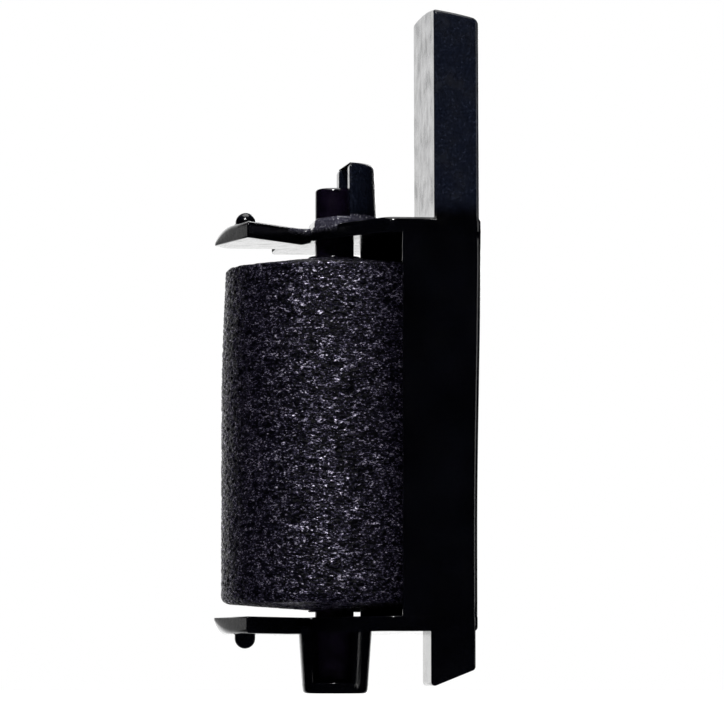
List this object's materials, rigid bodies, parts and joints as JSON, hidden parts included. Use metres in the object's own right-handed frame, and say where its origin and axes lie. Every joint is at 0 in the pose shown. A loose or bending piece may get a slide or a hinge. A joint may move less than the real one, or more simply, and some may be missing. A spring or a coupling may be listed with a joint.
{
  "type": "ink roller cartridge",
  "caption": "Snap-in ink roller cartridge for a price labelling gun: foam roller on an axle in a bracket with a pull tab, snap arms and a bearing boss.",
  "frame": {"origin": "where the roller axis meets the foot of the bearing boss", "axes": "+Z along the roller axis, from the boss towards the pull tab; +X from the roller to the spine; +Y away from the side the pull tab stands on"},
  "size_m": [0.0198, 0.0184, 0.054],
  "materials": {
    "frame_plastic": "semi-gloss moulded black",
    "ink_foam": "porous foam soaked with black ink",
    "axle_plastic": "glossy black, wet with ink"
  },
  "bodies": {
    "frame": {"frame": "frame_plastic"},
    "upper_arm": {"upper_snap_arm": "frame_plastic"},
    "lower_arm": {"lower_snap_arm": "frame_plastic"},
    "roller": {"foam_sleeve": "ink_foam", "roller_core": "axle_plastic", "roller_axle": "axle_plastic"}
  },
  "joints": [
    {"name": "roller_spin", "type": "hinge", "parent": "frame", "child": "roller", "pos_m": [0, 0, 0.0206], "axis": [0, 0, 1], "continuous": true},
    {"name": "upper_arm_flex", "type": "hinge", "parent": "frame", "child": "upper_arm", "pos_m": [-0.00413, 0, 0.03655], "axis": [0, -1, 0], "range_deg": [-2, 12], "stiffness_Nm_per_rad": 0.1},
    {"name": "lower_arm_flex", "type": "hinge", "parent": "frame", "child": "lower_arm", "pos_m": [-0.00413, 0, 0.00544], "axis": [0, 1, 0], "range_deg": [-2, 12], "stiffness_Nm_per_rad": 0.1}
  ]
}
